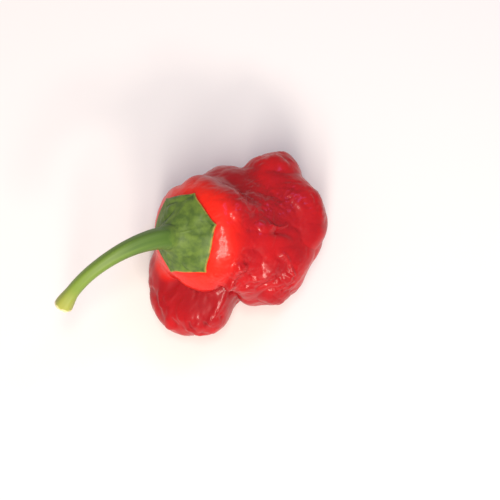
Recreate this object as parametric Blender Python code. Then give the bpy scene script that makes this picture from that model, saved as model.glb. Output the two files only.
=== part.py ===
"""A red bonnet chilli pepper lying on its side: a wrinkled pod, the calyx on its shoulder and its stem.

+X runs from the stem towards the blossom end and +Z is up. The world's origin is at the middle of the
pepper's bounding box, on the surface that it lies on. Each piece is shaped around the pod's centre, in
millimetres, and an empty named pepper places all three. MM turns millimetres into Blender's metres.
"""

import math
from dataclasses import dataclass

import bmesh
import bpy
import numpy as np
from mathutils import Vector, noise

MM = 0.001

# The pod's overall sizes, before its own weight presses the underside flat.
POD_LENGTH = 41.0  # along X
POD_WIDTH = 43.0  # along Y
POD_HEIGHT = 36.0  # along Z
REST_FLATTENING = 1.3  # how far the lowest lobe is pressed in

# The direction that the calyx faces, out of the pod's shoulder.
AXIS_ELEVATION = math.radians(45.0)
AXIS_TURN = math.radians(-16.0)

# The smooth shoulder that swells around the calyx, and the shallow seat that the calyx lies in.
SHOULDER_CENTRE = (-0.35, 0.04, 0.20)  # as shares of the pod's half sizes
SHOULDER_DIAMETER = 27.0
SHOULDER_DEPTH = 21.0
SEAT_DEPTH = 2.0
SEAT_RADIUS = 7.0

# The calyx, a toothed cap that flares up to the stem.
CALYX_DIAMETER = 24.0
CALYX_RIM_THICKNESS = 0.7
CALYX_THICKNESS = 1.3
CALYX_FLARE_HEIGHT = 2.4
CALYX_FLARE_REACH = 0.8  # how far out the flare runs, as a share of the way to the edge
CALYX_FLARE_CURVE = 2.0  # a larger value makes the flare steeper near the stem
CALYX_EDGE_CURVE = 3.0  # a larger value keeps the calyx thick until nearer its edge
CALYX_TOOTH_POINT = 0.7  # how far each tooth's tip stands out
CALYX_TOOTH_CURVE = 6.0  # a larger value makes the tip narrower

# The stem: thick at the calyx, thin beyond and swollen at the cut.
STEM_LENGTH = 31.0
STEM_BASE_DIAMETER = 5.4
STEM_DIAMETER = 3.1
STEM_CUT_DIAMETER = 4.2
STEM_BASE_TAPER = 0.75  # where along the stem its base has thinned out
STEM_BASE_CURVE = 1.8  # a larger value makes the base thin out sooner
STEM_CUT_SWELLING = 0.84  # where along the stem it starts to swell towards the cut
STEM_RIBS = 5
STEM_RIB_DEPTH = 0.05  # as a share of the stem's radius

# The gap between pieces that touch.
CLEARANCE = 0.3

# Wrinkles of the skin: how far apart they are and how deep they go.
PUFF_SPACING = 9.0
PUFF_DEPTH = 0.45
FOLD_SPACING = 4.5
FOLD_DEPTH = 0.15
FOLD_STRETCH = 0.5  # how much longer folds run along the pod than across it
BEND_SPACING = 11.0  # the slow bends that keep wrinkles from running straight
BEND_DEPTH = 1.6
BEND_SHIFTS = (5.3, 17.1, 31.7)  # where in the noise the bends along X, Y and Z are read
SMOOTH_SHARE = 0.6  # the lean towards the axis, as a cosine, at which the shoulder is quite smooth

# How the swellings meet: a larger value makes a tighter crease between them.
CREASE_TIGHTNESS = 1.2
# How softly a swelling's edge fades, as a share of the swelling.
GRAZE = 0.15

# The angle past which an edge stays sharp in shading.
SHARP_ANGLE = math.radians(50.0)

# The meshes' divisions.
POD_DIVISIONS = 24
CALYX_RINGS = 6
CALYX_TOOTH_STEPS = 6
STEM_RINGS = 24
STEM_SIDES = 15


@dataclass(frozen=True)
class Lobe:
    """A swelling of the pod, with its centre and its radius as shares of the pod's half sizes."""

    centre: tuple
    radius: float


@dataclass(frozen=True)
class Crease:
    """A groove in the skin that runs through directions from the pod's centre, as azimuths and elevations."""

    course: tuple
    depth: float
    width: float


@dataclass(frozen=True)
class Tooth:
    """One of the calyx's teeth, with its angle around the axis in degrees.

    Its reach, and how far the edge beyond it bows out, are shares of the calyx's radius.
    """

    angle: float
    reach: float
    bow: float


LOBES = (
    Lobe((0.20, 0.04, -0.10), 0.62),  # the middle of the body
    Lobe((0.06, 0.04, 0.12), 0.58),  # the slope from the shoulder to the body
    Lobe((-0.47, -0.34, -0.42), 0.53),  # the big lobe below the calyx
    Lobe((-0.63, -0.56, -0.42), 0.35),  # its lower corner
    Lobe((-0.62, -0.22, -0.34), 0.36),  # its rise to the shoulder
    Lobe((-0.40, -0.62, -0.28), 0.35),  # the fold on its flank
    Lobe((-0.48, -0.50, -0.36), 0.42),  # the swelling between it and that fold
    Lobe((0.10, -0.27, -0.18), 0.40),  # the front of the blossom side
    Lobe((0.33, -0.18, -0.12), 0.47),
    Lobe((0.52, 0.12, -0.06), 0.46),
    Lobe((0.52, 0.30, 0.00), 0.43),
    Lobe((0.38, 0.62, -0.04), 0.37),  # the small lobe behind the blossom side
    Lobe((-0.12, 0.43, -0.06), 0.43),  # the back of the shoulder
    Lobe((-0.32, 0.30, -0.42), 0.52),
    Lobe((0.36, -0.06, -0.50), 0.46),
    Lobe((0.25, 0.45, -0.50), 0.46),
)

CREASES = (
    # under the shoulder
    Crease(((216, 1), (223, 2), (233, 5), (246, 9), (255, 14)), 2.5, 2.0),
    Crease(((264, 4), (267, -6), (272, -30)), 2.4, 1.6),  # between the front lobes
    # the valley behind the blossom side
    Crease(((98, 34), (84, 42), (59, 52), (32, 50), (14, 36)), 1.0, 3.0),
    Crease(((330, -42), (350, -20), (5, -5)), 1.2, 1.5),  # from the blossom end up its front
    Crease(((330, -42), (20, -30), (45, -12)), 1.2, 1.5),  # from the blossom end to the back
)

CALYX_TEETH = (
    Tooth(19.0, 0.955, 0.02),
    Tooth(74.0, 1.00, 0.00),
    Tooth(122.0, 0.96, 0.00),
    Tooth(182.0, 0.80, 0.00),
    Tooth(247.0, 0.76, 0.00),
    Tooth(310.0, 0.93, 0.07),
)

# Headings of the stem at even steps from the calyx to the cut.
STEM_HEADINGS = (
    (-0.78, -0.15, 0.60),
    (-0.89, -0.36, 0.29),
    (-0.86, -0.50, 0.03),
    (-0.79, -0.56, -0.25),
    (-0.63, -0.60, -0.49),
    (-0.45, -0.65, -0.61),
)


@dataclass(frozen=True)
class Finish:
    """The colour (linear) and the roughness of one piece."""

    colour: tuple
    roughness: float


POD_FINISH = Finish((0.68, 0.025, 0.025), 0.28)
CALYX_FINISH = Finish((0.15, 0.26, 0.04), 0.50)
STEM_FINISH = Finish((0.18, 0.32, 0.07), 0.40)


def unit(vectors):
    """Vectors scaled to length one."""
    vectors = np.asarray(vectors, dtype=float)
    return vectors / np.linalg.norm(vectors, axis=-1, keepdims=True)


def heading(azimuth, elevation):
    """The unit vector at an azimuth and an elevation in radians."""
    level = math.cos(elevation)
    return np.array([level * math.cos(azimuth), level * math.sin(azimuth), math.sin(elevation)])


def smooth_step(low, high, value):
    """0 below low, 1 above high and an even curve between them."""
    share = np.clip((value - low) / (high - low), 0.0, 1.0)
    return share * share * (3.0 - 2.0 * share)


HALF_SIZES = np.array([POD_LENGTH, POD_WIDTH, POD_HEIGHT]) / 2
SHOULDER = HALF_SIZES * SHOULDER_CENTRE
# The calyx's own directions: AXIS out of the pod, UPWARD square to the pod's length, ACROSS square to both.
AXIS = heading(math.pi - AXIS_TURN, AXIS_ELEVATION)
UPWARD = unit(np.cross(AXIS, [1.0, 0.0, 0.0]))
ACROSS = np.cross(UPWARD, AXIS)


def swellings():
    """Every swelling of the pod, as the matrix that turns it into a unit ball and its centre."""
    for lobe in LOBES:
        yield np.diag(1.0 / (HALF_SIZES * lobe.radius)), HALF_SIZES * lobe.centre
    radii = np.array([SHOULDER_DIAMETER, SHOULDER_DIAMETER, SHOULDER_DEPTH]) / 2
    yield np.array([ACROSS, UPWARD, AXIS]) / radii[:, None], SHOULDER


def reach(directions, to_ball, centre):
    """How far out each direction from the pod's centre leaves the swelling that to_ball makes a unit ball."""
    rays = directions @ to_ball.T
    middle = to_ball @ centre
    stretch = (rays * rays).sum(axis=1)
    nearest = rays @ middle / stretch
    depth = 1.0 - (middle @ middle - nearest**2 * stretch)
    softened = 0.5 * (depth + np.sqrt(depth**2 + GRAZE**2))
    return nearest + np.sqrt(softened / stretch)


def crease_depth(directions, distance):
    """How deep the named creases cut into the skin along each direction."""
    total = np.zeros(len(directions))
    for crease in CREASES:
        course = [heading(math.radians(turn), math.radians(rise)) for turn, rise in crease.course]
        nearest = np.full(len(directions), np.inf)
        for start, end in zip(course, course[1:], strict=False):
            run = end - start
            share = np.clip((directions - start) @ run / (run @ run), 0.0, 1.0)
            aside = np.linalg.norm(directions - unit(start + share[:, None] * run), axis=1)
            nearest = np.minimum(nearest, aside * distance)
        total += crease.depth * np.exp(-((nearest / crease.width) ** 2))
    return total


def wrinkle(point, spacing):
    """A pattern of round puffs between sharp creases: -1 in a crease and about 0 on average."""
    typical = 0.22
    return abs(noise.noise(Vector(point) / spacing)) / typical - 1.0


def bend(point):
    """The slow bend of the wrinkles' pattern at a point, along each of X, Y and Z."""
    place = Vector(point) / BEND_SPACING
    return BEND_DEPTH * np.array([noise.noise(place + Vector((shift,) * 3)) for shift in BEND_SHIFTS])


def wrinkles(points):
    """The height of the skin's wrinkles at each point."""
    heights = np.empty(len(points))
    for index, point in enumerate(points):
        bent = point + bend(point)
        drawn = bent - AXIS * (bent @ AXIS) * FOLD_STRETCH
        heights[index] = PUFF_DEPTH * wrinkle(bent, PUFF_SPACING) + FOLD_DEPTH * wrinkle(drawn, FOLD_SPACING)
    return heights


def skin(directions):
    """How far the skin is from the pod's centre in each direction, before the pod lies on anything."""
    reaches = np.array([reach(directions, to_ball, centre) for to_ball, centre in swellings()])
    body = np.logaddexp.reduce(reaches * CREASE_TIGHTNESS, axis=0) / CREASE_TIGHTNESS
    from_shoulder = directions * body[:, None] - SHOULDER
    out = from_shoulder @ AXIS
    aside = np.linalg.norm(from_shoulder - out[:, None] * AXIS, axis=1)
    seat = SEAT_DEPTH * np.exp(-((aside / SEAT_RADIUS) ** 2)) * (out > 0)
    # The shoulder is smooth, and wrinkles grow stronger away from it.
    wrinkled = 1.0 - smooth_step(0.0, SMOOTH_SHARE, out / np.hypot(out, aside))
    body -= crease_depth(directions, body) + seat
    return body + wrinkled * wrinkles(directions * body[:, None])


def new_piece(name, shape, finish, parent):
    """A smooth-shaded object under parent, with its own material, from a closed bmesh in millimetres."""
    bmesh.ops.recalc_face_normals(shape, faces=shape.faces[:])
    bmesh.ops.scale(shape, vec=(MM, MM, MM), verts=shape.verts[:])
    mesh = bpy.data.meshes.new(name)
    shape.to_mesh(mesh)
    shape.free()
    mesh.shade_smooth()
    mesh.set_sharp_from_angle(angle=SHARP_ANGLE)
    material = bpy.data.materials.new(name)
    material.use_nodes = True
    shader = material.node_tree.nodes["Principled BSDF"]
    shader.inputs["Base Color"].default_value = (*finish.colour, 1.0)
    shader.inputs["Roughness"].default_value = finish.roughness
    shader.inputs["Metallic"].default_value = 0.0
    mesh.materials.append(material)
    piece = bpy.data.objects.new(name, mesh)
    piece.parent = parent
    bpy.context.scene.collection.objects.link(piece)
    return piece


def make_pod(parent):
    """The pod: a gridded cube blown up to the skin, with whatever hangs below the floor pressed flat."""
    shape = bmesh.new()
    bmesh.ops.create_cube(shape, size=2.0)
    bmesh.ops.subdivide_edges(shape, edges=shape.edges[:], cuts=POD_DIVISIONS - 1, use_grid_fill=True)
    corners = np.array([vertex.co[:] for vertex in shape.verts])
    # The tangent spaces the grid evenly around the ball.
    directions = unit(np.tan(corners * math.pi / 4))
    points = directions * skin(directions)[:, None]
    floor = points[:, 2].min() + REST_FLATTENING
    hanging = points[:, 2] < floor
    points[hanging] *= (floor / points[hanging, 2])[:, None]
    for vertex, point in zip(shape.verts, points, strict=True):
        vertex.co = point
    return new_piece("pod", shape, POD_FINISH, parent)


def closed_body(rings, first, last):
    """A bmesh skinned over rings of points, closed by a fan to one point at each end."""
    body = bmesh.new()
    loops = [[body.verts.new(point) for point in ring] for ring in rings]
    ends = body.verts.new(first), body.verts.new(last)
    for index in range(len(rings[0])):
        beyond = (index + 1) % len(rings[0])
        body.faces.new((ends[0], loops[0][beyond], loops[0][index]))
        for lower, upper in zip(loops, loops[1:], strict=False):
            body.faces.new((lower[index], lower[beyond], upper[beyond], upper[index]))
        body.faces.new((ends[1], loops[-1][index], loops[-1][beyond]))
    return body


def calyx_edge():
    """Angles around the axis and radii of the calyx's edge: nearly straight sides between pointed teeth."""
    angles, radii = [], []
    for tooth, following in zip(CALYX_TEETH, CALYX_TEETH[1:] + CALYX_TEETH[:1], strict=True):
        half = math.radians((following.angle - tooth.angle) % 360.0) / 2
        for step in range(CALYX_TOOTH_STEPS):
            share = 2.0 * step / CALYX_TOOTH_STEPS - 1.0
            corner = tooth.reach + (following.reach - tooth.reach) * (share + 1.0) / 2
            straight = corner * math.cos(half) / math.cos(half * share) + tooth.bow * (1.0 - share**2)
            angles.append(math.radians(tooth.angle) + half * (share + 1.0))
            radii.append(CALYX_DIAMETER / 2 * straight + CALYX_TOOTH_POINT * abs(share) ** CALYX_TOOTH_CURVE)
    return np.array(angles), np.array(radii)


def calyx_places():
    """Where the axis of the calyx meets its underside, and the middle of the flat land under the stem."""
    outward = unit(SHOULDER + AXIS * SHOULDER_DEPTH / 2)
    underside = outward * (skin(outward[None, :])[0] + CLEARANCE)
    return underside, underside + AXIS * (CALYX_THICKNESS + CALYX_FLARE_HEIGHT)


def make_calyx(parent):
    """The calyx: it follows the pod's skin underneath, and its top flares up to the land for the stem."""
    angles, radii = calyx_edge()
    around = np.cos(angles)[:, None] * ACROSS + np.sin(angles)[:, None] * UPWARD
    land_radius = STEM_BASE_DIAMETER / 2
    underside, land = calyx_places()
    under, top = [], []
    for share in np.linspace(0.0, 1.0, CALYX_RINGS + 1):
        offset = land_radius + (radii - land_radius) * share
        directions = unit(SHOULDER + AXIS * SHOULDER_DEPTH / 2 + around * offset[:, None])
        base = skin(directions) + CLEARANCE
        inward = 1.0 - share**CALYX_EDGE_CURVE
        thickness = CALYX_RIM_THICKNESS + (CALYX_THICKNESS - CALYX_RIM_THICKNESS) * inward
        upper = directions * (base + thickness)[:, None]
        flare = (1.0 - min(share / CALYX_FLARE_REACH, 1.0)) ** CALYX_FLARE_CURVE
        under.append(directions * base[:, None])
        top.append(upper + ((land - upper) @ AXIS)[:, None] * AXIS * flare)
    top[0] = land + around * land_radius
    return new_piece("calyx", closed_body(under + top[::-1], underside, land), CALYX_FINISH, parent)


def stem_course():
    """Points on the stem's centre line, evenly spaced from a base at the origin, and the headings."""
    keys = unit(STEM_HEADINGS)
    places = np.linspace(0.0, len(keys) - 1.0, STEM_RINGS)
    before = np.minimum(places.astype(int), len(keys) - 2)
    share = (places - before)[:, None]
    headings = unit(keys[before] * (1.0 - share) + keys[before + 1] * share)
    steps = (headings[1:] + headings[:-1]) / 2 * STEM_LENGTH / (STEM_RINGS - 1)
    return np.vstack([np.zeros(3), np.cumsum(steps, axis=0)]), headings


def stem_radius(share):
    """The stem's radius at a share of its length."""
    base = (STEM_BASE_DIAMETER - STEM_DIAMETER) * max(0.0, 1.0 - share / STEM_BASE_TAPER) ** STEM_BASE_CURVE
    cut = (STEM_CUT_DIAMETER - STEM_DIAMETER) * smooth_step(STEM_CUT_SWELLING, 1.0, share)
    return (STEM_DIAMETER + base + cut) / 2


def make_stem(parent):
    """The stem: ribbed rings swept from the calyx's land to the cut."""
    course, headings = stem_course()
    # Its base is square to the calyx's axis, so that it lies flat on the land.
    headings[0] = AXIS
    course = course + calyx_places()[1] + AXIS * CLEARANCE
    turns = np.linspace(0.0, 2.0 * math.pi, STEM_SIDES, endpoint=False)
    ribs = 1.0 + STEM_RIB_DEPTH * np.cos(STEM_RIBS * turns)
    rings = []
    for index, (middle, along) in enumerate(zip(course, headings, strict=True)):
        side = unit(np.cross(UPWARD, along))
        other = np.cross(along, side)
        radii = stem_radius(index / (STEM_RINGS - 1)) * ribs
        sideways = (np.cos(turns) * radii)[:, None] * side
        rings.append(middle + sideways + (np.sin(turns) * radii)[:, None] * other)
    return new_piece("stem", closed_body(rings, course[0], course[-1]), STEM_FINISH, parent)


def main():
    """Makes the three pieces under one empty, and stands them on the origin."""
    for old in list(bpy.data.objects):
        bpy.data.objects.remove(old, do_unlink=True)
    pepper = bpy.data.objects.new("pepper", None)
    bpy.context.scene.collection.objects.link(pepper)
    pieces = [make_pod(pepper), make_calyx(pepper), make_stem(pepper)]
    corners = np.array([vertex.co[:] for piece in pieces for vertex in piece.data.vertices])
    lowest, highest = corners.min(axis=0), corners.max(axis=0)
    middle = (lowest + highest) / 2
    pepper.location = (-middle[0], -middle[1], -lowest[2])


if __name__ == "__main__":
    main()
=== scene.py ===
"""The looks of a red bonnet chilli pepper on its side: waxy wrinkled skin, leafy calyx and ribbed stem.

Forms are worked out in millimetres around the pod's centre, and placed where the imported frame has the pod.
Sizes are in millimetres and angles in degrees, unless a comment says otherwise.
"""

import logging
import math
from collections.abc import Iterator
from dataclasses import dataclass
from enum import Enum

import bmesh
import bpy
import numpy as np
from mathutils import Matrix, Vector, noise


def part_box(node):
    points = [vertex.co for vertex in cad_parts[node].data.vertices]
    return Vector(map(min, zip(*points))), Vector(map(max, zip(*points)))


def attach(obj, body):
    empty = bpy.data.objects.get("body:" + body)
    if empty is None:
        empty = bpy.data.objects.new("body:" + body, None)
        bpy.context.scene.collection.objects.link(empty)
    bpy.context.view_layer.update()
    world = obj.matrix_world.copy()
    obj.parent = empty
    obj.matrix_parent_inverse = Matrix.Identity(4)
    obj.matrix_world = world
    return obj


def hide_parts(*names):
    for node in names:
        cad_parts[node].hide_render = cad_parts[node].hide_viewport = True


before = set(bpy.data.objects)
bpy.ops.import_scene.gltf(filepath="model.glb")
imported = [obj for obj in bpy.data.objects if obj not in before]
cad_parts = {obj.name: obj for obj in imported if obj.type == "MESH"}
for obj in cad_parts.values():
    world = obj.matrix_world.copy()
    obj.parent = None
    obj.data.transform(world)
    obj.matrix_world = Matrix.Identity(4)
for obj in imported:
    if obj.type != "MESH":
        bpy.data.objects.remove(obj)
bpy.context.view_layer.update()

MM = 0.001
# Places of the colour inputs and output on Blender's Mix node.
MIX_A = 6
MIX_B = 7
MIX_RESULT = 2

log = logging.getLogger("pepper")


class Trait(Enum):
    """A value that a mesh carries at each point, for its relief and its colours."""

    SHOULDER = "shoulder"  # 1 on the smooth shoulder around the calyx, 0 away from it
    WRINKLED = "wrinkled"  # how strong fine wrinkles are
    FOLD_SHADING = "fold_shading"  # 1 at the bottom of a deep crease, where shade is painted on the skin
    HOLLOW = "hollow"  # how far a point lies below its surroundings, in metres, from which the materials paint shade
    RIM = "rim"  # 1 at the calyx's edge, 0 at its middle
    NECK = "neck"  # 1 where the calyx has run up onto the stem
    ALONG = "along"  # 0 at the stem's base, 1 at its cut
    ROUND = "round"  # the direction out of the stem's centre line, across the stem
    CUT = "cut"  # 1 on the stem's cut end


def unit(vectors: np.ndarray) -> np.ndarray:
    """Vectors scaled to length one."""
    vectors = np.asarray(vectors, dtype=float)
    return vectors / np.linalg.norm(vectors, axis=-1, keepdims=True)


def heading(azimuth: float, elevation: float) -> np.ndarray:
    """The unit vector at an azimuth and an elevation in radians."""
    level = math.cos(elevation)
    return np.array([level * math.cos(azimuth), level * math.sin(azimuth), math.sin(elevation)])


def smooth_step(low: float, high: float, value: np.ndarray) -> np.ndarray:
    """0 below low, 1 above high and an even curve between them."""
    share = np.clip((value - low) / (high - low), 0.0, 1.0)
    return share * share * (3.0 - 2.0 * share)


def linear(hex_colour: str) -> tuple[float, float, float, float]:
    """Turns an sRGB colour into a linear one.

    Args:
        hex_colour: The colour as #rrggbb.

    Returns:
        Linear red, green and blue, and an alpha of one.
    """
    shares = [int(hex_colour[place : place + 2], 16) / 255 for place in (1, 3, 5)]
    return (*[s / 12.92 if s <= 0.04045 else ((s + 0.055) / 1.055) ** 2.4 for s in shares], 1.0)


def wire(node: bpy.types.Node, inputs: dict[str | int, object]) -> None:
    """Links or sets a node's inputs.

    Args:
        node: The node.
        inputs: For each input, by name or place, another node's output to link or a value to set.
    """
    for key, value in inputs.items():
        if isinstance(value, bpy.types.NodeSocket):
            node.id_data.links.new(value, node.inputs[key])
        else:
            node.inputs[key].default_value = value


def add_node(
    tree: bpy.types.NodeTree, kind: str, inputs: dict[str | int, object] | None = None, **settings: object
) -> bpy.types.Node:
    """Adds a node with its settings and links.

    Args:
        tree: The tree that gets the node.
        kind: Blender's name for the type of node.
        inputs: What the node's inputs are linked or set to, as wire takes them.
        settings: Properties of the node itself.

    Returns:
        The new node.
    """
    node = tree.nodes.new(kind)
    for name, value in settings.items():
        setattr(node, name, value)
    wire(node, inputs or {})
    return node


def add_object(name: str, data: bpy.types.ID) -> bpy.types.Object:
    """Puts a mesh, a curve, a light or a camera in the scene, as an object at the origin."""
    added = bpy.data.objects.new(name, data)
    bpy.context.scene.collection.objects.link(added)
    return added


def set_trait(mesh: bpy.types.Mesh, trait: Trait, values: np.ndarray) -> None:
    """Writes one number for each of a mesh's points, under the trait's name."""
    numbers = mesh.attributes.new(trait.value, "FLOAT", "POINT").data
    numbers.foreach_set("value", values.astype(np.float32))


def new_material(name: str) -> tuple[bpy.types.Material, bpy.types.NodeTree, bpy.types.Node]:
    """Makes a material.

    Args:
        name: The material's name.

    Returns:
        The material, its tree and its shader.
    """
    material = bpy.data.materials.new(name)
    material.use_nodes = True
    return material, material.node_tree, material.node_tree.nodes["Principled BSDF"]


def new_tree(name: str, values: dict[str, float]) -> tuple[bpy.types.NodeTree, bpy.types.NodeOutputs]:
    """Starts a Geometry Nodes tree that takes geometry, numbers and a material, and gives geometry.

    Args:
        name: The tree's name.
        values: The numbers that the tree takes, by name. A whole one makes a whole input.

    Returns:
        The tree, and its inputs as its nodes see them.
    """
    tree = bpy.data.node_groups.new(name, "GeometryNodeTree")
    kinds = {"Geometry": "NodeSocketGeometry"}
    for key, value in values.items():
        kinds[key] = "NodeSocketInt" if isinstance(value, int) else "NodeSocketFloat"
    kinds["Material"] = "NodeSocketMaterial"
    for key, kind in kinds.items():
        tree.interface.new_socket(key, in_out="INPUT", socket_type=kind)
    tree.interface.new_socket("Geometry", in_out="OUTPUT", socket_type="NodeSocketGeometry")
    return tree, tree.nodes.new("NodeGroupInput").outputs


def end_tree(
    tree: bpy.types.NodeTree, geometry: bpy.types.NodeSocket, material: bpy.types.NodeSocket
) -> None:
    """Ends a Geometry Nodes tree in real geometry with a material.

    Args:
        tree: The tree.
        geometry: What the tree has made.
        material: The material for all of it.
    """
    real = add_node(tree, "GeometryNodeRealizeInstances", {"Geometry": geometry})
    dressed = add_node(tree, "GeometryNodeSetMaterial", {"Geometry": real.outputs[0], "Material": material})
    add_node(tree, "NodeGroupOutput", {"Geometry": dressed.outputs[0]})


def bake(
    piece: bpy.types.Object, tree: bpy.types.NodeTree, values: dict[str, float], material: bpy.types.Material
) -> bpy.types.Object:
    """Runs a Geometry Nodes tree on a piece and keeps the result as a plain mesh.

    Args:
        piece: The mesh or curve that the tree starts from, which is removed.
        tree: The tree.
        values: The tree's inputs by name.
        material: What goes to the tree's Material input.

    Returns:
        A mesh object with the piece's name.
    """
    modifier = piece.modifiers.new(tree.name, "NODES")
    modifier.node_group = tree
    for name, value in {**values, "Material": material}.items():
        modifier[tree.interface.items_tree[name].identifier] = value
    piece.update_tag()
    evaluated = piece.evaluated_get(bpy.context.evaluated_depsgraph_get())
    mesh = bpy.data.meshes.new_from_object(evaluated)
    name = piece.name
    piece.modifiers.remove(modifier)
    bpy.data.objects.remove(piece)
    mesh.shade_smooth()
    return add_object(name, mesh)


@dataclass(frozen=True)
class Lobe:
    """A swelling of the pod, with its centre and its radius as shares of the pod's half sizes."""

    centre: tuple[float, float, float]
    radius: float


@dataclass(frozen=True)
class Crease:
    """A groove in the skin, or a ridge where its depth is negative.

    It runs through directions from the pod's centre, as azimuths and elevations.
    """

    course: tuple[tuple[float, float], ...]
    depth: float
    width: float

    def closeness(self, directions: np.ndarray, distance: np.ndarray) -> np.ndarray:
        """How close points are to the crease.

        Args:
            directions: Unit vectors out of the pod's centre.
            distance: How far out along each direction its point is.

        Returns:
            1 on the crease's course, fading to 0 beside it, for each direction.
        """
        course = [heading(math.radians(turn), math.radians(rise)) for turn, rise in self.course]
        nearest = np.full(len(directions), np.inf)
        for start, end in zip(course, course[1:], strict=False):
            run = end - start
            share = np.clip((directions - start) @ run / (run @ run), 0.0, 1.0)
            aside = np.linalg.norm(directions - unit(start + share[:, None] * run), axis=1)
            nearest = np.minimum(nearest, aside * distance)
        return np.exp(-((nearest / self.width) ** 2))


def crease_depth(creases: tuple[Crease, ...], directions: np.ndarray, distance: np.ndarray) -> np.ndarray:
    """How deep creases cut into the skin in all, for points this far out along each direction."""
    return sum(crease.depth * crease.closeness(directions, distance) for crease in creases)


LOBES = (
    Lobe((0.20, 0.04, -0.10), 0.62),  # the middle of the body
    Lobe((0.06, 0.04, 0.12), 0.58),  # the slope from the shoulder to the body
    Lobe((-0.47, -0.34, -0.42), 0.53),  # the big lobe below the calyx
    Lobe((-0.63, -0.56, -0.42), 0.35),  # its lower corner
    Lobe((-0.62, -0.22, -0.34), 0.36),  # its rise to the shoulder
    Lobe((-0.40, -0.62, -0.28), 0.35),  # the fold on its flank
    Lobe((-0.48, -0.50, -0.36), 0.42),  # the swelling between it and that fold
    Lobe((0.10, -0.27, -0.18), 0.40),  # the front of the blossom side
    Lobe((0.33, -0.18, -0.12), 0.47),
    Lobe((0.52, 0.12, -0.06), 0.46),
    Lobe((0.52, 0.30, 0.00), 0.43),
    Lobe((0.38, 0.62, -0.04), 0.37),  # the small lobe behind the blossom side
    Lobe((-0.12, 0.43, -0.06), 0.43),  # the back of the shoulder
    Lobe((-0.32, 0.30, -0.42), 0.52),
    Lobe((0.36, -0.06, -0.50), 0.46),
    Lobe((0.25, 0.45, -0.50), 0.46),
)

CREASES = (
    # under the shoulder
    Crease(((216, 1), (223, 2), (233, 5), (246, 9), (255, 14)), 2.5, 2.0),
    Crease(((264, 4), (267, -6), (272, -30)), 2.4, 1.6),  # between the front lobes
    # the valley behind the blossom side
    Crease(((98, 34), (84, 42), (59, 52), (32, 50), (14, 36)), 1.0, 3.0),
    Crease(((330, -42), (350, -20), (5, -5)), 1.2, 1.5),  # from the blossom end up its front
    Crease(((330, -42), (20, -30), (45, -12)), 1.2, 1.5),  # from the blossom end to the back
)

# Smaller features, which only the finished skin has.
FINE_CREASES = (
    # the ridge down the fold's edge
    Crease(((274, 52), (262, 26), (257, 10), (256, 4), (253, 1)), -1.1, 1.1),
    Crease(((18, 54), (12, 46), (12, 36)), -0.45, 0.5),  # a thin ridge on the blossom side
    Crease(((2, 52), (3, 42), (1, 34)), 0.4, 1.0),  # the valley in front of it
    Crease(((292, 20), (312, 26), (330, 24)), 0.5, 0.8),
    Crease(((334, 34), (333, 24), (326, 18)), -0.4, 0.45),
    Crease(((291, 32), (301, 34), (313, 36), (324, 36)), -0.35, 0.6),
    Crease(((206, -13), (214, -9), (222, -11)), 0.45, 0.8),  # dimples and ridges of the big lobe
    Crease(((228, -4), (233, -8)), 0.45, 0.8),
    Crease(((240, -3), (243, -9)), 0.4, 0.8),
    Crease(((216, -7), (211, -6), (212, -3), (219, -1)), -0.6, 0.6),
    Crease(((230, 0), (235, -2)), -0.4, 0.6),
    Crease(((231, -5), (223, -4)), -0.45, 0.6),
    Crease(((226, -8), (231, -12)), -0.5, 0.8),
    Crease(((241, -7), (247, -11)), -0.5, 0.8),
)

# Courses on the skin along which it is puckered most, with how much more and how far around.
PUCKERED = (
    Crease(((286, 46), (300, 32), (318, 20), (336, 22)), 2.2, 3.6),  # the blossom side
    Crease(((205, -9), (226, -3), (243, -3)), 0.6, 3.6),  # the big lobe
    Crease(((256, 6), (254, 2)), 1.0, 1.5),  # the fold's edge
    Crease(((48, 24), (38, 30)), 0.8, 2.5),  # the small lobe
)


@dataclass(frozen=True)
class Ramp:
    """A span of a value, from low to high, that turns into a share from least to most."""

    low: float
    high: float
    least: float = 0.0
    most: float = 1.0

    def inputs(self, value: bpy.types.NodeSocket) -> dict[str, object]:
        """The inputs of a node that maps the value's range."""
        spans = {"From Min": self.low, "From Max": self.high, "To Min": self.least, "To Max": self.most}
        return {"Value": value, **spans}


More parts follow.
